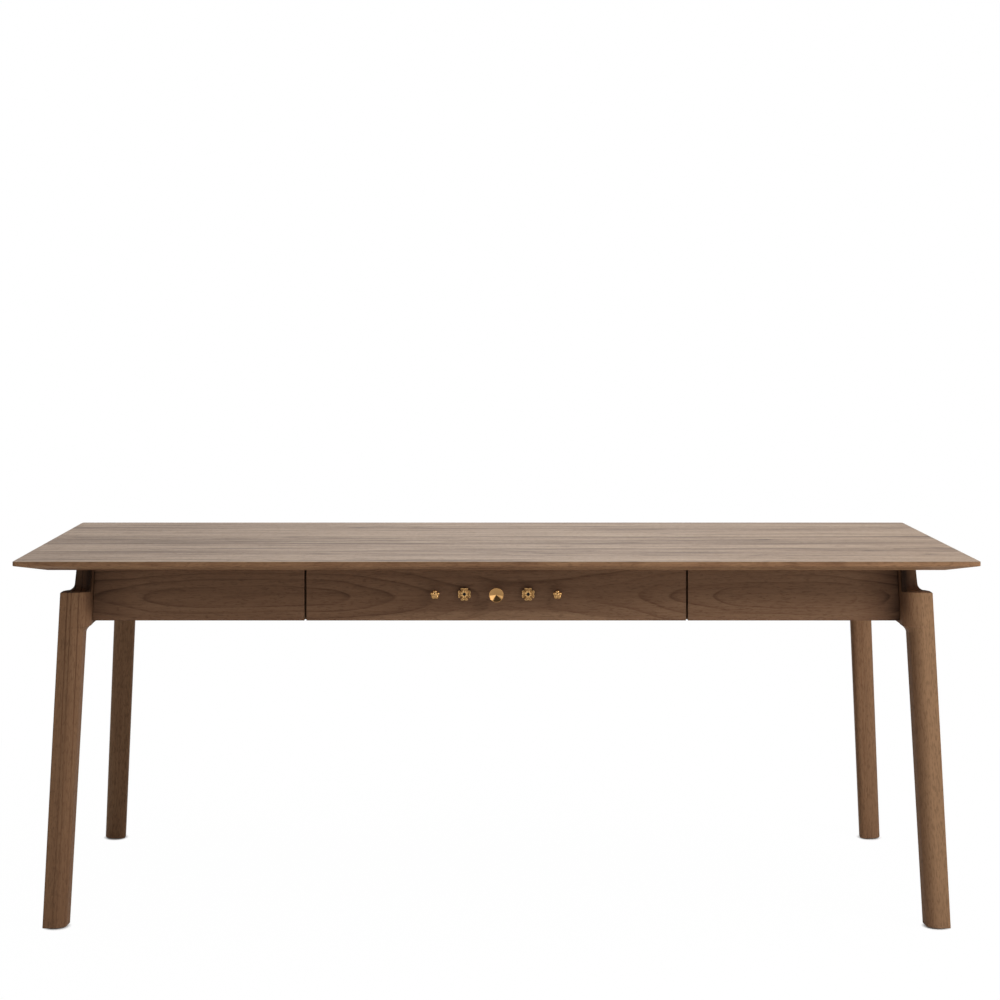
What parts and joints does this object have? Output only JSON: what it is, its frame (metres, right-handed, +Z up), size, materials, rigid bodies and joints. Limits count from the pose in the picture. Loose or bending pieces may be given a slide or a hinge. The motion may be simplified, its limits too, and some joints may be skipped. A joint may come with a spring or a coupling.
{
  "type": "dining table",
  "caption": "Rectangular walnut dining table on splayed, notched legs, with a drawer in the middle of the front apron pulled by brass flower knobs.",
  "frame": {"origin": "on the floor, under the middle of the tabletop", "axes": "+Z up, -Y towards the front with the drawer, +X to the right as seen from the front"},
  "size_m": [2, 0.9, 0.76],
  "materials": {
    "walnut": "satin oil, grain along each piece",
    "drawer_box_wood": "pale, clear lacquer",
    "brass": "satin",
    "steel": "zinc plated",
    "glide_plastic": "matte"
  },
  "bodies": {
    "frame": {"tabletop": "walnut", "front_rail": "walnut", "back_rail": "walnut", "leg_front_left": "walnut", "leg_front_right": "walnut", "leg_back_left": "walnut", "leg_back_right": "walnut", "corner_block_front_left": "walnut", "corner_block_front_right": "walnut", "corner_block_back_left": "walnut", "corner_block_back_right": "walnut", "back_apron": "walnut", "front_panel_left": "walnut", "front_panel_right": "walnut", "end_apron_left": "walnut", "end_apron_right": "walnut", "divider_left": "walnut", "divider_right": "walnut", "top_screw_1": "steel", "top_screw_2": "steel", "top_screw_3": "steel", "top_screw_4": "steel", "top_screw_5": "steel", "top_screw_6": "steel", "top_screw_7": "steel", "top_screw_8": "steel", "leg_bolt_front_left": "steel", "leg_bolt_front_right": "steel", "leg_bolt_back_left": "steel", "leg_bolt_back_right": "steel", "foot_glide_front_left": "glide_plastic", "foot_glide_front_right": "glide_plastic", "foot_glide_back_left": "glide_plastic", "foot_glide_back_right": "glide_plastic", "slide_fixed_left": "steel", "slide_fixed_right": "steel"},
    "slide_middles": {"slide_middle_left": "steel", "slide_middle_right": "steel"},
    "drawer": {"drawer_front": "walnut", "drawer_inner_front": "drawer_box_wood", "drawer_side_left": "drawer_box_wood", "drawer_side_right": "drawer_box_wood", "drawer_back": "drawer_box_wood", "drawer_bottom": "drawer_box_wood", "slide_moving_left": "steel", "slide_moving_right": "steel", "front_screw_left": "steel", "front_screw_right": "steel", "knob_blossom_left": "brass", "knob_rosette_left": "brass", "knob_disc": "brass", "knob_rosette_right": "brass", "knob_blossom_right": "brass", "knob_screw_1": "steel", "knob_screw_2": "steel", "knob_screw_3": "steel", "knob_screw_4": "steel", "knob_screw_5": "steel"}
  },
  "joints": [
    {"name": "drawer_slide", "type": "slide", "parent": "frame", "child": "drawer", "axis": [0, -1, 0], "range_m": [0, 0.36]},
    {"name": "slide_middle_travel", "type": "slide", "parent": "frame", "child": "slide_middles", "axis": [0, -1, 0], "range_m": [0, 0.18]}
  ],
  "couplings": [
    {"joint": "slide_middle_travel", "follows": "drawer_slide", "ratio": 0.5}
  ]
}
